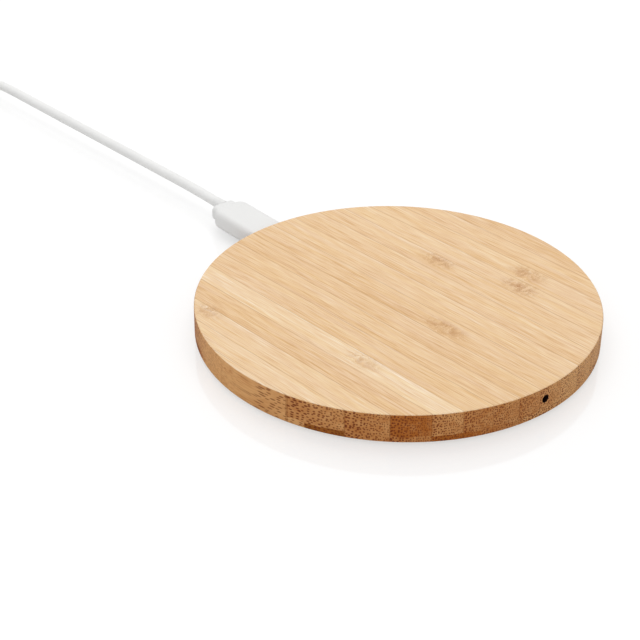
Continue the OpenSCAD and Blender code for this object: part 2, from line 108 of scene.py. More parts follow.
# the route of the CAD solids, in millimetres: from the plug's end to the coil, with y from that end
LEAD_ROUTE = [
    (CABLE_X / MM, 0, CABLE_Z / MM), (CABLE_X / MM, 6, CABLE_Z / MM), (0.75, 14, CABLE_Z / MM),
    (0.3, 24, CABLE_Z / MM), (-0.45, 40, CABLE_Z / MM), (-1.2, 56, CABLE_Z / MM),
    (-2, 72, CABLE_Z / MM), (-2.75, 88, CABLE_Z / MM),
    (-3.45, 103, 4.6), (-3.8, 110, 4.1), (-4.05, 116, 3), (-4.17, 120.5, 2.2), (-4.2, 124, 1.9),
]
# and from the coil to the far plug, with y from the coil's middle
TAIL_X = -47
TAIL_ROUTE = [
    (TAIL_X, 0, LAYERS[1] / MM), (TAIL_X, -4, 4.6), (TAIL_X, -8, 4.1), (TAIL_X, -12, 3.9), (TAIL_X, -16, 3.9),
]


def smooth(points, steps):
    """Points of a smooth curve through the given ones."""
    found = []
    for i in range(len(points) - 1):
        a, b, c, d = (points[max(0, min(len(points) - 1, i + k))] for k in (-1, 0, 1, 2))
        for s in range(steps):
            t = s / steps
            square, cube = 2 * a - 5 * b + 4 * c - d, 3 * b - a - 3 * c + d
            found.append((2 * b + (c - a) * t + square * t ** 2 + cube * t ** 3) / 2)
    return found + [points[-1]]


def coil_points():
    """Turns wound inwards in the lower layer and outwards again on top, to the side of the far plug."""
    turns = 2 * STORE_TURNS - 0.5
    found = []
    for i in range(1, int(turns * TURN_STEPS)):
        turn = i / TURN_STEPS
        inward = abs(turn - STORE_TURNS)
        radius = STORE_IN_R + CABLE_D * inward
        climb = min(1, max(0, (turn - STORE_TURNS + 0.2) / 0.4))
        z = LAYERS[0] + (LAYERS[1] - LAYERS[0]) * climb * climb * (3 - 2 * climb)
        angle = 2 * math.pi * turn
        found.append(Vector((STORE_X + radius * math.cos(angle), STORE_Y + radius * math.sin(angle), z)))
    return found


def cable_points():
    lead = smooth([Vector((x, y, z)) * MM + Vector((0, CABLE_EXIT, 0)) for x, y, z in LEAD_ROUTE], 2)
    tail = smooth([Vector((x, y, z)) * MM + Vector((0, STORE_Y, 0)) for x, y, z in TAIL_ROUTE], 3)
    return lead + coil_points() + tail


def make_cable():
    points = cable_points()
    curve = bpy.data.curves.new("cable", "CURVE")
    curve.dimensions = "3D"
    curve.bevel_depth = CABLE_D / 2
    curve.bevel_resolution = 6
    curve.use_fill_caps = True
    spline = curve.splines.new("POLY")
    spline.points.add(len(points) - 1)
    for place, point in zip(spline.points, points):
        place.co = (*point, 1)
    spline.use_smooth = True
    cable = bpy.data.objects.new("cable", curve)
    bpy.context.scene.collection.objects.link(cable)
    length = sum((b - a).length for a, b in zip(points, points[1:]))
    return cable, length, points[0]


cable, cable_length, cable_start = make_cable()

# ---------------------------------------------------------------- shader helpers


def rgb(red, green, blue):
    """A colour written as 0-255 display values, as a linear one."""
    linear = [v / 255 / 12.92 if v <= 10 else ((v / 255 + 0.055) / 1.055) ** 2.4 for v in (red, green, blue)]
    return (*linear, 1)


class Graph:
    """Adds shader nodes to a material. An input may be a socket or a plain value."""

    def __init__(self, name):
        self.material = bpy.data.materials.new(name)
        self.material.use_nodes = True
        self.tree = self.material.node_tree
        self.shader = self.tree.nodes["Principled BSDF"]

    def put(self, socket, value):
        if isinstance(value, bpy.types.NodeSocket):
            self.tree.links.new(value, socket)
        elif value is not None:
            socket.default_value = value

    def add(self, kind, **settings):
        node = self.tree.nodes.new(kind)
        for name, value in settings.items():
            setattr(node, name, value)
        return node

    def set(self, **inputs):
        """Sets inputs of the main shader, such as Base_Color."""
        for name, value in inputs.items():
            self.put(self.shader.inputs[name.replace("_", " ")], value)

    def math(self, operation, a, b=None, c=None, clamp=False):
        node = self.add("ShaderNodeMath", operation=operation, use_clamp=clamp)
        for socket, value in zip(node.inputs, (a, b, c)):
            self.put(socket, value)
        return node.outputs[0]

    def vector(self, operation, a, b=None, c=None):
        node = self.add("ShaderNodeVectorMath", operation=operation)
        for socket, value in zip(node.inputs, (a, b, c)):
            self.put(socket, value)
        return node.outputs["Value" if operation == "LENGTH" else "Vector"]

    def place(self):
        return self.add("ShaderNodeTexCoord").outputs["Object"]

    def split(self, vector):
        node = self.add("ShaderNodeSeparateXYZ")
        self.put(node.inputs[0], vector)
        return node.outputs

    def join(self, x, y, z):
        node = self.add("ShaderNodeCombineXYZ")
        for socket, value in zip(node.inputs, (x, y, z)):
            self.put(socket, value)
        return node.outputs[0]

    def noise(self, vector, scale, detail=2.0, roughness=0.5):
        node = self.add("ShaderNodeTexNoise")
        self.put(node.inputs["Vector"], vector)
        self.put(node.inputs["Scale"], scale)
        self.put(node.inputs["Detail"], detail)
        self.put(node.inputs["Roughness"], roughness)
        return node.outputs["Fac"]

    def cells(self, vector, scale, randomness=1.0, dimensions="3D"):
        node = self.add("ShaderNodeTexVoronoi", voronoi_dimensions=dimensions)
        self.put(node.inputs["Vector"], vector)
        self.put(node.inputs["Scale"], scale)
        self.put(node.inputs["Randomness"], randomness)
        return node.outputs["Distance"], node.outputs["Color"]

    def span(self, value, low, high, to_low=0.0, to_high=1.0, smooth=False):
        node = self.add("ShaderNodeMapRange", interpolation_type="SMOOTHSTEP" if smooth else "LINEAR")
        ends = {"From Min": low, "From Max": high, "To Min": to_low, "To Max": to_high}
        for name, number in {"Value": value, **ends}.items():
            self.put(node.inputs[name], number)
        return node.outputs["Result"]

    def mix(self, factor, a, b, blend="MIX"):
        node = self.add("ShaderNodeMix", data_type="RGBA", blend_type=blend)
        self.put(node.inputs["Factor"], factor)
        self.put(node.inputs[6], a)
        self.put(node.inputs[7], b)
        return node.outputs[2]

    def ramp_stops(self, node, stops, interpolation="LINEAR"):
        node.color_ramp.interpolation = interpolation
        elements = node.color_ramp.elements
        while len(elements) > 1:
            elements.remove(elements[-1])
        elements[0].position, elements[0].color = stops[0]
        for position, colour in stops[1:]:
            elements.new(position).color = colour

    def ramp(self, value, stops):
        node = self.add("ShaderNodeValToRGB")
        self.ramp_stops(node, stops)
        self.put(node.inputs[0], value)
        return node.outputs["Color"]

    def bump(self, height, distance, strength=1.0):
        node = self.add("ShaderNodeBump")
        self.put(node.inputs["Height"], height)
        self.put(node.inputs["Distance"], distance)
        self.put(node.inputs["Strength"], strength)
        self.set(Normal=node.outputs["Normal"])


# ---------------------------------------------------------------- bamboo

STRIP_ANGLE = 2.9              # degrees, anticlockwise from +Y
STRIP_SPAN = 60.0              # mm, the strips run from -STRIP_SPAN to +STRIP_SPAN across the pad
STRIP_W = 6.6                  # mm, the usual width of a strip

# each strip of the board: left edge in mm, tone of its long grain, tone of its end grain, seed
STRIPS = [
    (-60.0, 0.60, 0.72, 0.83), (-48.7, 0.62, 0.50, 0.37), (-42.9, 0.61, 0.40, 0.21),
    (-36.7, 0.46, 0.02, 0.64), (-29.8, 0.70, 0.50, 0.92), (-23.7, 0.52, 0.36, 0.45),
    (-17.3, 0.51, 0.42, 0.73), (-10.7, 0.50, 0.44, 0.05), (-4.4, 0.50, 0.66, 0.56),
    (2.5, 0.57, 0.95, 0.88), (9.6, 0.52, 0.95, 0.29), (16.5, 0.55, 1.00, 0.68),
    (23.0, 0.58, 0.95, 0.15), (29.5, 0.55, 0.80, 0.51), (36.0, 0.52, 0.75, 0.97), (42.5, 0.51, 0.75, 0.33),
]

# the bottom ply of the board shows as a thin band with strips of its own
PLY_T = 1.7                    # mm
PLY_TOP = SHELL_LOW.z / MM + PLY_T
PLY_STRIPS = [
    (-60.0, 0.45, 0.72, 0.83), (-47.0, 0.45, -0.55, 0.37), (-42.9, 0.45, 0.38, 0.12),
    (-36.7, 0.45, 0.25, 0.90), (-29.8, 0.45, -0.05, 0.48), (-20.0, 0.45, 0.25, 0.26),
    (-14.0, 0.45, 0.30, 0.59), (-9.0, 0.50, 0.80, 0.04), (17.0, 0.50, 0.85, 0.33), (31.0, 0.45, 0.75, 0.81),
]

# joints of the culm that cross a strip: place across and along in mm, half width, half length, strength
KNOTS = [
    (-38.0, 27.0, 3.2, 5.0, 0.70), (-25.7, -14.5, 2.8, 6.0, 0.60), (-1.0, -17.2, 2.8, 7.0, 0.95),
    (21.4, 6.8, 2.8, 6.0, 1.00), (26.8, -16.0, 3.2, 6.0, 1.00), (33.2, -13.2, 3.2, 6.0, 1.00),
]

# at the pad's two sides the wall runs along the strips: it is plain fibre there and turns to end grain; the
# pale tone there is part side grain and part painted sheen that the grazing wall catches
SIDE_MIDDLE = 9.0              # mm along the strips, the middle of that stretch
SIDE_PLAIN, SIDE_END = 8.0, 15.0   # mm from the middle, where the plain fibre ends and the end grain begins

# layers of fibres: scale across and along the strips, detail of the noise
FIBRES = {
    "broad": (0.40, 0.016, 1), "middle": (1.2, 0.03, 2), "fine": (2.8, 0.06, 2), "hair": (5.5, 0.15, 2),
    "streaks": (3.6, 0.09, 1), "hue": (0.7, 0.03, 1),
}

LONG_GRAIN = [
    (0.0, rgb(196, 146, 92)), (0.25, rgb(219, 176, 126)), (0.5, rgb(236, 200, 156)),
    (0.75, rgb(244, 216, 178)), (1.0, rgb(253, 236, 210)),
]
LONG_STREAK = rgb(196, 142, 88)
KNOT_BROWN = rgb(180, 122, 66)
END_DEEP, END_DARK, END_LIGHT = rgb(126, 78, 20), rgb(172, 98, 34), rgb(222, 169, 110)
VESSEL = rgb(112, 46, 8)
SEAM = rgb(140, 84, 36)
# painted shade: near black for the wall of the light pipe's bore, where the hole falls into shade
BORE_SHADE = rgb(30, 13, 8)


def strip_values(g, across, strips):
    """Long tone, end tone and seed of the strip at each point, and the place across it, from 0 to 1.
    A colour ramp holds no negative value, so the end tone and the strip's middle are stored shifted up."""
    stops = []
    for i, (edge, long_tone, end_tone, seed) in enumerate(strips):
        width = (strips[i + 1][0] if i + 1 < len(strips) else STRIP_SPAN) - edge
        middle = edge + width / 2 + STRIP_SPAN
        stops.append(((edge + STRIP_SPAN) / (2 * STRIP_SPAN), (long_tone, end_tone + 1, seed, middle)))
    node = g.add("ShaderNodeValToRGB")
    g.ramp_stops(node, stops, "CONSTANT")
    g.put(node.inputs[0], g.math("MULTIPLY_ADD", across, 1 / (2 * STRIP_SPAN), 0.5))
    long_tone, end_tone, seed = g.split(node.outputs["Color"])
    from_middle = g.math("SUBTRACT", g.math("ADD", across, STRIP_SPAN), node.outputs["Alpha"])
    inside = g.math("MULTIPLY_ADD", from_middle, 1 / STRIP_W, 0.5, clamp=True)
    return long_tone, g.math("ADD", end_tone, -1), seed, inside


def knot_strength(g, across, along):
    """How strongly each point lies in a joint of the culm, from 0 to 1."""
    total = None
    for x, y, half_w, half_l, strength in KNOTS:
        dx = g.math("MULTIPLY", g.math("ADD", across, -x), 1 / half_w)
        dy = g.math("MULTIPLY", g.math("ADD", along, -y), 1 / half_l)
        distance = g.vector("LENGTH", g.join(dx, dy, 0))
        one = g.span(distance, 1.3, 0.1, 0, strength, smooth=True)
        total = one if total is None else g.math("MAXIMUM", total, one)
    return total


def choose(g, mask, inside, outside):
    return g.math("ADD", outside, g.math("MULTIPLY", mask, g.math("SUBTRACT", inside, outside)))


def bore_shade_mask(g):
    """1 on the wall of the bore in which the light pipe sits, in front of the pipe: there painted shade
    darkens the bamboo near black.
    """
    x, y, z = g.split(g.place())
    dx = g.math("ADD", x, -(PIPE_LOW.x + PIPE_HIGH.x) / 2)
    dz = g.math("ADD", z, -(PIPE_LOW.z + PIPE_HIGH.z) / 2)
    bore_r = (PIPE_HIGH.z - PIPE_LOW.z) / 2 + 0.05 * MM
    near = g.math("LESS_THAN", g.vector("LENGTH", g.join(dx, 0, dz)), bore_r)
    return g.math("MULTIPLY", near, g.math("LESS_THAN", y, PIPE_HIGH.y))


def strip_pattern(g, across, along, up):
    """Strips of the top board and of the bottom ply, glued along slightly wavy lines. Gives the long tone,
    the end tone, the seed, the place across the strip, and 1 on the seams."""
    wave = g.noise(g.join(g.math("MULTIPLY", across, 0.2), g.math("MULTIPLY", along, 0.03), 0), 1.0, 1)
    glued = g.math("MULTIPLY_ADD", wave, 0.3, g.math("ADD", across, -0.15))
    ply_edge = g.noise(g.join(g.math("MULTIPLY", across, 0.25), g.math("MULTIPLY", along, 0.25), 7), 1.0, 2)
    ply_top = g.math("MULTIPLY_ADD", ply_edge, 1.4, PLY_TOP - 0.7)
    in_ply = g.math("LESS_THAN", up, ply_top)
    board, ply = strip_values(g, glued, STRIPS), strip_values(g, glued, PLY_STRIPS)
    values = [choose(g, in_ply, p, b) for p, b in zip(ply, board)]
    sides = [strip_values(g, g.math("ADD", glued, side), STRIPS)[2] for side in (-0.10, 0.10)]
    seam = g.math("GREATER_THAN", g.math("ABSOLUTE", g.math("SUBTRACT", *sides)), 0.01)
    return (*values, seam)


def fibre_layers(g, across, along, up, shift, knot, curl):
    """Layers of noise about zero, drawn out along the strips and bent in the knots."""
    bend = g.math("MULTIPLY", g.math("MULTIPLY", knot, 7.0), g.math("ADD", curl, -0.5))
    drift = g.noise(g.join(g.math("MULTIPLY", across, 0.12), g.math("MULTIPLY", along, 0.03), 3.1), 1.0, 1)
    fibre_x = g.math("ADD", g.math("ADD", across, bend), g.math("MULTIPLY", drift, 1.2))
    layers = {}
    for name, (across_scale, along_scale, detail) in FIBRES.items():
        place = g.join(
            g.math("MULTIPLY_ADD", fibre_x, across_scale, shift),
            g.math("MULTIPLY_ADD", along, along_scale, shift),
            g.math("MULTIPLY", up, across_scale * 0.5),
        )
        layers[name] = g.math("ADD", g.noise(place, 1.0, detail, 0.55), -0.5)
    return layers


def long_grain_colour(g, fibres, long_tone, inside, knot, curl):
    """The faces: fine fibres with darker streaks, and brown scribbles in the joints of the culm."""
    tone = g.math("ADD", long_tone, g.math("MULTIPLY", g.math("ADD", inside, -0.5), 0.10))
    for name, amount in (("broad", 0.16), ("middle", 0.30), ("fine", 0.70), ("hair", 1.0)):
        tone = g.math("MULTIPLY_ADD", fibres[name], amount, tone)
    colour = g.ramp(tone, LONG_GRAIN)
    colour = g.mix(g.span(fibres["streaks"], 0.10, 0.24, 0, 0.34), colour, LONG_STREAK)
    tint = g.mix(g.span(fibres["hue"], -0.2, 0.2), (1.0, 0.975, 0.90, 1), (1.0, 1.0, 1.05, 1))
    colour = g.mix(1.0, colour, tint, "MULTIPLY")
    contour = g.math("ABSOLUTE", g.math("SUBTRACT", g.math("FRACT", g.math("MULTIPLY", curl, 9.0)), 0.5))
    scribble = g.math("MULTIPLY", g.span(contour, 0.16, 0.04), g.span(fibres["fine"], -0.12, 0.1))
    smudge = g.span(curl, 0.40, 0.60, 0.10, 0.60)
    in_knot = g.math("MULTIPLY", knot, g.math("MULTIPLY_ADD", scribble, 0.60, smudge))
    return g.mix(in_knot, colour, KNOT_BROWN)


def vessel_dots(g, across, along, up, shift, inside, end_on):
    """Vessels of the end grain: dots drawn out along the strip, larger and denser at one side of it."""
    row = g.math("MULTIPLY_ADD", g.math("MULTIPLY", inside, inside), 1.5, g.math("ADD", across, shift))
    row = g.math("MULTIPLY_ADD", along, -0.03, row)
    place = g.join(row, g.math("MULTIPLY_ADD", up, 0.85, shift), 0)
    distance, cell = g.cells(place, 1.8, 0.72, "2D")
    size = g.math("MULTIPLY_ADD", g.split(cell)[0], 0.12, g.math("MULTIPLY_ADD", inside, -0.07, 0.19))
    dot = g.span(distance, g.math("ADD", size, 0.15), size, 0, 1, smooth=True)
    dot = g.math("MULTIPLY", dot, g.math("MULTIPLY_ADD", inside, -0.30, 0.98))
    return g.math("MULTIPLY", dot, g.math("MULTIPLY_ADD", end_on, 0.85, 0.15))


def end_grain_colour(g, fibres, slow, end_tone, inside, end_on, dot):
    """The wall: the strip's own tone with dark vessels, and pale fibre where it runs along the strips, pale
    partly as side grain and partly as painted sheen.
    """
    shade = g.math("ADD", end_tone, g.math("MULTIPLY", g.math("ADD", inside, -0.5), 0.12))
    for layer, amount in ((g.math("ADD", slow, -0.5), 0.8), (fibres["middle"], 0.5), (fibres["hair"], 0.4)):
        shade = g.math("MULTIPLY_ADD", layer, amount, shade)
    # part side grain, part painted sheen: where the wall runs along the strips it gets a pale tone standing
    # in for the light that the grazing wall catches
    shade = choose(g, end_on, shade, g.math("MULTIPLY_ADD", fibres["hair"], 2.2, 0.88))
    ground = g.mix(g.math("MULTIPLY", shade, -1), g.mix(shade, END_DARK, END_LIGHT), END_DEEP)
    return g.mix(dot, ground, VESSEL)


def bamboo_material():
    """End grain on the wall and long grain on the faces; the small edge round turns from one to the other."""
    g = Graph("bamboo")
    turn = g.add("ShaderNodeVectorRotate", rotation_type="Z_AXIS")
    g.put(turn.inputs["Vector"], g.vector("MULTIPLY", g.place(), (1 / MM, 1 / MM, 1 / MM)))
    g.put(turn.inputs["Angle"], math.radians(-STRIP_ANGLE))
    across, along, up = g.split(turn.outputs[0])

    long_tone, end_tone, seed, inside, seam = strip_pattern(g, across, along, up)
    shift = g.math("MULTIPLY", seed, 97.0)
    knot = knot_strength(g, across, along)
    curl = g.noise(g.join(g.math("MULTIPLY", across, 0.5), g.math("MULTIPLY", along, 0.7), seed), 1.0, 3, 0.6)
    fibres = fibre_layers(g, across, along, up, shift, knot, curl)

    slow = g.noise(g.join(g.math("MULTIPLY", across, 0.5), g.math("MULTIPLY", up, 0.6), shift), 1.0, 2)
    from_side = g.math("ABSOLUTE", g.math("ADD", along, -SIDE_MIDDLE))
    end_on = g.span(from_side, SIDE_PLAIN, SIDE_END, 0, 1)
    dot = vessel_dots(g, across, along, up, shift, inside, end_on)

    facing = g.math("ABSOLUTE", g.split(g.add("ShaderNodeTexCoord").outputs["Normal"])[2])
    wall = g.span(facing, 0.75, 0.45, 0, 1, smooth=True)
    on_faces = long_grain_colour(g, fibres, long_tone, inside, knot, curl)
    on_wall = end_grain_colour(g, fibres, slow, end_tone, inside, end_on, dot)
    broken = g.span(fibres["fine"], -0.15, 0.1, 0.5, 1.0)
    end_glue = g.math("MULTIPLY", g.math("MULTIPLY", wall, end_on), 0.54)
    glue = g.math("MULTIPLY_ADD", g.math("SUBTRACT", 1, wall), 0.34, end_glue)
    glue = g.math("MULTIPLY", g.math("MULTIPLY", seam, broken), glue)
    colour = g.mix(glue, g.mix(wall, on_faces, on_wall), SEAM)
    # painted shade: the bore's wall in front of the light pipe is painted near black
    colour = g.mix(bore_shade_mask(g), colour, BORE_SHADE)

    rough = g.math("MULTIPLY_ADD", fibres["fine"], 0.2, g.math("MULTIPLY_ADD", wall, 0.10, 0.48))
    height = g.math("SUBTRACT", fibres["hair"], g.math("MULTIPLY", g.math("MULTIPLY", dot, wall), 0.6))
    height = g.math("SUBTRACT", height, g.math("MULTIPLY", glue, 0.5))
    g.set(Base_Color=colour, Roughness=rough, Specular_IOR_Level=0.16)
    g.bump(height, 0.05 * MM, 0.35)
    return g.material


# ---------------------------------------------------------------- other materials


def plastic(name, colour, roughness=0.45, grain=0.02, grain_scale=2500, vary=0.03, specular=0.5, sheen=0.0):
    """Moulded plastic or rubber: fine grain in the bump, slow changes in tone and gloss."""
    g = Graph(name)
    place = g.place()
    fine = g.noise(place, grain_scale, 2)
    slow = g.noise(place, 60, 3)
    darker = tuple(c * (1 - 2 * vary) for c in colour[:3]) + (1,)
    uneven = g.math("ADD", g.math("MULTIPLY", fine, 0.5), slow)
    g.set(
        Base_Color=g.mix(g.span(slow, 0.35, 0.65), darker, colour),
        Roughness=g.math("MULTIPLY_ADD", uneven, 0.14, roughness - 0.1),
        Specular_IOR_Level=specular,
        Sheen_Weight=sheen,
    )
    g.bump(fine, grain * MM, 0.5)
    return g.material


def metal(name, colour, roughness=0.25, brushed=(1, 1, 1), scale=1500):
    """Plated sheet or wire: fine lines of gloss along one direction and a slow stain."""
    g = Graph(name)
    place = g.place()
    lines = g.noise(g.vector("MULTIPLY", place, brushed), scale, 3)
    slow = g.noise(place, 150, 3)
    darker = tuple(c * 0.86 for c in colour[:3]) + (1,)
    g.set(
        Base_Color=g.mix(g.span(slow, 0.3, 0.7), darker, colour),
        Metallic=1.0,
        Roughness=g.math("MULTIPLY_ADD", lines, 0.2, roughness - 0.08),
    )
    g.bump(lines, 0.004 * MM, 0.4)
    return g.material


def clear_material():
    g = Graph("clear_acrylic")
    haze = g.noise(g.place(), 700, 2)
    g.set(
        Base_Color=g.mix(haze, rgb(225, 232, 232), rgb(240, 246, 246)),
        Roughness=g.span(haze, 0.3, 0.7, 0.04, 0.16),
        Transmission_Weight=0.9,
        IOR=1.49,
    )
    g.bump(haze, 0.005 * MM, 0.2)
    return g.material


def board_material():
    """Green solder mask with traces and pads showing faintly through it."""
    g = Graph("board_laminate")
    place = g.place()
    traces = g.noise(g.vector("MULTIPLY", place, (1, 0.1, 1)), 900, 0)
    crossing = g.noise(g.vector("MULTIPLY", place, (0.1, 1, 1)), 900, 0)
    lines = g.math("MAXIMUM", g.span(traces, 0.55, 0.6), g.span(crossing, 0.56, 0.6))
    g.set(
        Base_Color=g.mix(lines, rgb(14, 74, 44), rgb(34, 112, 66)),
        Roughness=g.span(lines, 0, 1, 0.34, 0.26),
    )
    g.bump(lines, 0.02 * MM, 0.4)
    return g.material


def foam_material():
    g = Graph("grey_foam")
    distance, tint = g.cells(g.place(), 2600)
    g.set(
        Base_Color=g.mix(g.span(distance, 0.1, 0.6), rgb(70, 70, 72), rgb(112, 112, 115)),
        Roughness=g.span(distance, 0.1, 0.6, 0.95, 0.8),
        Specular_IOR_Level=0.2,
    )
    g.bump(distance, 0.08 * MM, 0.8)
    return g.material


def litz_material():
    """Twisted enamelled strands: fine slanted lines of copper."""
    g = Graph("coil_copper")
    place = g.place()
    strands = g.noise(g.vector("MULTIPLY", place, (1, 1, 0.3)), 2200, 2)
    g.set(
        Base_Color=g.mix(g.span(strands, 0.35, 0.65), rgb(122, 62, 30), rgb(214, 132, 78)),
        Metallic=0.85,
        Roughness=g.span(strands, 0.3, 0.7, 0.28, 0.45),
    )
    g.bump(strands, 0.04 * MM, 0.7)
    return g.material


def make_looks():
    """The material of each of the record's slots."""
    white = rgb(238, 238, 237)
    return {
        "bamboo": bamboo_material(),
        "base_plastic": plastic("base_plastic", rgb(226, 226, 222), 0.55, 0.02, 1800),
        "silicone": plastic("silicone", rgb(70, 70, 72), 0.62, 0.03, 1400, 0.06, 0.35, 0.15),
        "screw_steel": metal("screw_steel", rgb(196, 197, 200), 0.3),
        "board_laminate": board_material(),
        "port_steel": metal("port_steel", rgb(206, 206, 208), 0.3, (1, 0.08, 1)),
        "black_plastic": plastic("black_plastic", rgb(34, 34, 36), 0.5),
        "contact_gold": metal("contact_gold", rgb(226, 190, 110), 0.22, (1, 0.05, 1)),
        "chip_epoxy": plastic("chip_epoxy", rgb(40, 40, 42), 0.6, 0.02, 3500, 0.08),
        "capacitor_ceramic": plastic("capacitor_ceramic", rgb(178, 150, 116), 0.5, 0.015, 3000, 0.06),
        "ferrite_black": plastic("ferrite_black", rgb(52, 52, 55), 0.5, 0.03, 2600, 0.1),
        "lamp_epoxy": plastic("lamp_epoxy", rgb(196, 222, 196), 0.25, 0.004, 900, 0.04),
        "tinned_wire": metal("tinned_wire", rgb(204, 204, 202), 0.28, (1, 1, 0.1)),
        "clear_acrylic": clear_material(),
        "grey_foam": foam_material(),
        "coil_copper": litz_material(),
        "tape_film": plastic("tape_film", rgb(222, 214, 190), 0.4, 0.01, 1200),
        "sensor_epoxy": plastic("sensor_epoxy", rgb(44, 78, 88), 0.3, 0.01, 1500),
        "white_moulding": plastic("white_moulding", white, 0.46, 0.012, 2600, 0.012, 0.45),
        "plug_steel": metal("plug_steel", rgb(212, 212, 214), 0.24, (1, 0.08, 1)),
        "white_jacket": plastic("white_jacket", rgb(243, 243, 242), 0.42, 0.012, 2200, 0.015, 0.45),
        "white_plastic": plastic("white_plastic", rgb(232, 232, 230), 0.35, 0.006, 1500, 0.015),
        "tie_plastic": plastic("tie_plastic", rgb(198, 198, 198), 0.6, 0.05, 900, 0.05),
    }


looks = make_looks()
slot_of = {part["node"]: part["material_slot"] for part in frame["record"]["subparts"]}


def dress(piece, slot):
    piece.data.materials.clear()
    piece.data.materials.append(looks[slot])


for node, piece in frame["nodes"].items():
    dress(piece, slot_of[node])

# ---------------------------------------------------------------- modelled pieces


def rounded_outline(width, height, radius, count=96):
    """Points of a rectangle with round corners, evenly spread, in x and z, starting on the right."""
    w, h, r = width / 2, height / 2, min(radius, width / 2, height / 2)
    straight_w, straight_h, arc = 2 * (w - r), 2 * (h - r), math.pi * r / 2
    total = 2 * (straight_w + straight_h) + 4 * arc
    sides = [
        (straight_h / 2, lambda s: (w, s)),
        (arc, lambda s: (w - r + r * math.cos(s / r), h - r + r * math.sin(s / r))),
        (straight_w, lambda s: (w - r - s, h)),
        (arc, lambda s: (-w + r - r * math.sin(s / r), h - r + r * math.cos(s / r))),
        (straight_h, lambda s: (-w, h - r - s)),
        (arc, lambda s: (-w + r - r * math.cos(s / r), -h + r - r * math.sin(s / r))),
        (straight_w, lambda s: (-w + r + s, -h)),
        (arc, lambda s: (w - r + r * math.sin(s / r), -h + r - r * math.cos(s / r))),
        (straight_h / 2, lambda s: (w, -h + r + s)),
    ]
    found = []
    for i in range(count):
        s = total * i / count
        for length, side in sides:
            if s <= length:
                found.append(side(s))
                break
            s -= length
    return found


def loft(name, sections, centre_x, centre_z):
    """A closed skin through outlines: each section is a y and its outline's points in x and z."""
    mesh = bmesh.new()
    rings = [
        [mesh.verts.new((centre_x + x, y, centre_z + z)) for x, z in outline]
        for y, outline in sections
    ]
    count = len(rings[0])
    for near, far in zip(rings, rings[1:]):
        for i in range(count):
            j = (i + 1) % count
            mesh.faces.new((near[i], near[j], far[j], far[i]))
    mesh.faces.new(rings[0])
    mesh.faces.new(reversed(rings[-1]))
    bmesh.ops.recalc_face_normals(mesh, faces=mesh.faces)
    data = bpy.data.meshes.new(name)
    mesh.to_mesh(data)
    mesh.free()
    for face in data.polygons:
        face.use_smooth = True
    piece = bpy.data.objects.new(name, data)
    bpy.context.scene.collection.objects.link(piece)
    data.set_sharp_from_angle(angle=math.radians(40))
    return piece


def moulded_plug(name, box, metal_box, hole_corner, hole_depth, corner, end_round, relief, neck=None):
    """A plug's moulding: a round-edged block, an optional neck, and a strain relief down to the cable.
    The metal shell sits in a hole in the other end. A relief is its two radii, length and shift in x and
    z, and a neck is its width, height, length and corner."""
    low, high = box
    width, height = high.x - low.x, high.z - low.z
    metal_low, metal_high = metal_box
    start_r, end_r, relief_l, shift_x, shift_z = relief
    neck_l = neck[2] if neck else 0
    back_y = high.y - relief_l - neck_l
    front_round = 0.35 * MM
    inner = rounded_outline(metal_high.x - metal_low.x, metal_high.z - metal_low.z, hole_corner)
    sections = [(low.y + hole_depth, inner), (low.y, inner)]
    for k in range(5):
        angle = math.pi / 2 * k / 4
        inset = front_round * (1 - math.sin(angle))
        y = low.y + front_round * (1 - math.cos(angle))
        sections.append((y, rounded_outline(width - 2 * inset, height - 2 * inset, corner)))
    if neck:
        end_w, end_h, end_corner = neck[0], neck[1], neck[3]
    else:
        end_w, end_h, end_corner = 2 * start_r, 2 * start_r, start_r
    for k in range(13):
        angle = math.pi / 2 * k / 12
        part = 1 - math.cos(angle)
        y = back_y - end_round * (1 - math.sin(angle))
        here_w, here_h = width + (end_w - width) * part, height + (end_h - height) * part
        sections.append((y, rounded_outline(here_w, here_h, corner + (end_corner - corner) * part)))
    if neck:
        for inset, left in ((0, 0.5 * MM), (0.12 * MM, 0.15 * MM), (0.4 * MM, 0)):
            shape = rounded_outline(end_w - 2 * inset, end_h - 2 * inset, end_corner - inset)
            sections.append((back_y + (neck_l - left), shape))
    for k in range(11):
        t = k / 10
        radius = end_r + (start_r - end_r) * (1 - t) ** 1.6
        circle = rounded_outline(2 * radius, 2 * radius, radius)
        sections.append((back_y + neck_l + relief_l * t, [(x + shift_x, z + shift_z) for x, z in circle]))
    return loft(name, sections, (low.x + high.x) / 2, (low.z + high.z) / 2)


RELIEF_END_R = 1.45 * MM       # both reliefs end just over the cable

plug_moulding = moulded_plug(
    "plug_moulding", (PLUG_LOW, PLUG_HIGH), (METAL_LOW, METAL_HIGH),
    hole_corner=0.5 * MM, hole_depth=2.9 * MM, corner=1.6 * MM, end_round=2.2 * MM,
    relief=(1.7 * MM, RELIEF_END_R, 4.0 * MM, CABLE_X, CABLE_Z - PLUG_Z),
    neck=(7.42 * MM, 4.24 * MM, 2.4 * MM, 1.4 * MM),
)
far_moulding = moulded_plug(
    "far_plug_moulding", (A_LOW, A_HIGH), (A_METAL_LOW, A_METAL_HIGH),
    hole_corner=0.2 * MM, hole_depth=4.9 * MM, corner=2.0 * MM, end_round=3.0 * MM,
    relief=(2.6 * MM, RELIEF_END_R, 5.0 * MM, 0, 0),
)

TIE_W = 4.0 * MM               # along the turns
TIE_OUT, TIE_IN = 1.6 * MM, 0.6 * MM   # how much wider than the turns the band is, outside and inside
TIE_GAP = 0.1 * MM             # how much higher than the turns it is inside
TIE_OUT_R, TIE_IN_R = 1.6 * MM, 1.3 * MM   # of its corners
TIE_EDGE = 0.12 * MM           # how far its outer face stops short of its edges
TIE_POINTS = 120               # round each outline


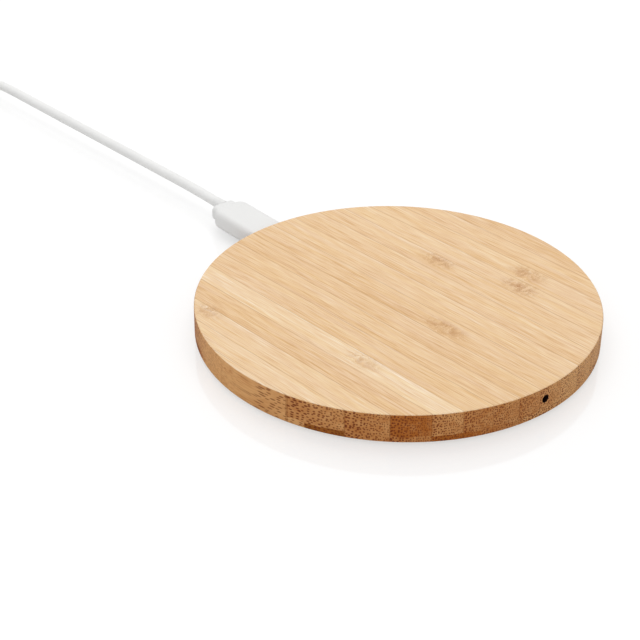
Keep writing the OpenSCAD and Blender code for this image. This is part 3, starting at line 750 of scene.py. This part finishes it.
def make_tie(index, angle):
    """A plain band round the bundle of turns, at one place on the coil."""
    bundle_w, bundle_h = 2 * (STORE_OUT_R - STORE_R) + CABLE_D, 2 * CABLE_D
    outline = rounded_outline(bundle_w + TIE_OUT, bundle_h + 2 * TIE_T, TIE_OUT_R, TIE_POINTS)
    inner = rounded_outline(bundle_w + TIE_IN, bundle_h + TIE_GAP, TIE_IN_R, TIE_POINTS)
    # each ring of an edge: its outline, how far it lies inside the edge, its scale in x and z
    edge = ((inner, 0, 1, 1), (outline, 0, 0.98125, 0.95), (outline, TIE_EDGE, 1, 1))
    mesh = bmesh.new()
    rings = []
    for side in (-1, 1):
        for shape, back, scale_x, scale_z in edge:
            y = side * (TIE_W / 2 - back)
            rings.append([mesh.verts.new((x * scale_x, y, z * scale_z)) for x, z in shape])
    order = [rings[0], rings[1], rings[2], rings[5], rings[4], rings[3], rings[0]]
    for near, far in zip(order, order[1:]):
        for i in range(len(near)):
            j = (i + 1) % len(near)
            mesh.faces.new((near[i], near[j], far[j], far[i]))
    bmesh.ops.recalc_face_normals(mesh, faces=mesh.faces)
    data = bpy.data.meshes.new(f"cable_tie_{index}")
    mesh.to_mesh(data)
    mesh.free()
    for face in data.polygons:
        face.use_smooth = True
    data.set_sharp_from_angle(angle=math.radians(50))
    data.transform(Matrix.Translation((STORE_R, 0, (TIES_LOW.z + TIES_HIGH.z) / 2)))
    data.transform(Matrix.Rotation(math.radians(angle), 4, "Z"))
    data.transform(Matrix.Translation((STORE_X, STORE_Y, 0)))
    piece = bpy.data.objects.new(f"cable_tie_{index}", data)
    bpy.context.scene.collection.objects.link(piece)
    return piece


ties = [make_tie(i, angle) for i, angle in enumerate((60, 240))]

for piece, slot, nodes in (
    (cable, "white_jacket", ("cable_lead", "cable_coil", "cable_tail")),
    (plug_moulding, "white_moulding", ("micro_plug_overmold",)),
    (far_moulding, "white_moulding", ("usb_a_overmold",)),
    (ties[0], "tie_plastic", ("cable_ties",)),
    (ties[1], "tie_plastic", ("cable_ties",)),
):
    dress(piece, slot)
    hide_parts(*nodes)
    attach(piece, "cable")

# ---------------------------------------------------------------- floor and light

FLOOR_SIDE = 6.0
FLOOR_GREYS = (0.80, 0.82)     # to all rays but the camera's, as it lights the pad from below
FLOOR_SEEN = 0.42              # grey of the floor to the camera, and the white that it adds of its own
FLOOR_GLOW = 0.57
WORLD_LIGHT = 0.60             # from all round; 1 to the camera and in reflections
LAMP_WHITE = (1.0, 0.995, 0.985)


def make_floor():
    """A pale glossy floor, which adds white of its own to the camera and so is white outside the shadow."""
    g = Graph("floor")
    path = g.add("ShaderNodeLightPath")
    seen = path.outputs["Is Camera Ray"]
    grain = g.noise(g.place(), 40, 3)
    plain = g.mix(grain, *((grey, grey, grey, 1) for grey in FLOOR_GREYS))
    g.set(
        Base_Color=g.mix(seen, plain, (FLOOR_SEEN, FLOOR_SEEN, FLOOR_SEEN, 1)),
        Roughness=0.07,
        Specular_IOR_Level=0.5,
        Emission_Color=(1, 1, 1, 1),
        Emission_Strength=g.math("MULTIPLY", seen, FLOOR_GLOW),
    )
    mesh = bpy.data.meshes.new("floor")
    half = FLOOR_SIDE / 2
    corners = [(-half, -half, 0), (half, -half, 0), (half, half, 0), (-half, half, 0)]
    mesh.from_pydata(corners, [], [(0, 1, 2, 3)])
    floor = bpy.data.objects.new("floor", mesh)
    bpy.context.scene.collection.objects.link(floor)
    floor.data.materials.append(g.material)


def make_lamp(name, place, side, power):
    """A square lamp that shines at the middle of the pad."""
    light = bpy.data.lights.new(name, "AREA")
    light.shape = "SQUARE"
    light.size = side
    light.energy = power
    light.color = LAMP_WHITE
    lamp = bpy.data.objects.new(name, light)
    bpy.context.scene.collection.objects.link(lamp)
    lamp.location = place
    lamp.rotation_euler = (-Vector(place)).to_track_quat("-Z", "Y").to_euler()
    lamp.visible_camera = False


def make_world():
    """Even light from all round, and plain white to the camera and in reflections."""
    world = bpy.data.worlds.new("world")
    bpy.context.scene.world = world
    world.use_nodes = True
    nodes, links = world.node_tree.nodes, world.node_tree.links
    background = nodes["Background"]
    background.inputs["Color"].default_value = (1, 1, 1, 1)
    path = nodes.new("ShaderNodeLightPath")
    shown = None
    for name in ("Is Camera Ray", "Is Glossy Ray", "Is Transmission Ray"):
        if shown is None:
            shown = path.outputs[name]
            continue
        both = nodes.new("ShaderNodeMath")
        both.operation = "MAXIMUM"
        links.new(shown, both.inputs[0])
        links.new(path.outputs[name], both.inputs[1])
        shown = both.outputs[0]
    strength = nodes.new("ShaderNodeMapRange")
    links.new(shown, strength.inputs["Value"])
    strength.inputs["To Min"].default_value = WORLD_LIGHT
    strength.inputs["To Max"].default_value = 1.0
    links.new(strength.outputs["Result"], background.inputs["Strength"])


make_floor()
make_world()
make_lamp("key", place=(0.25, 0.35, 0.9), side=0.9, power=4.1)
make_lamp("fill", place=(-0.7, -0.5, 0.5), side=0.8, power=1.6)

bpy.context.scene.view_settings.view_transform = "Standard"
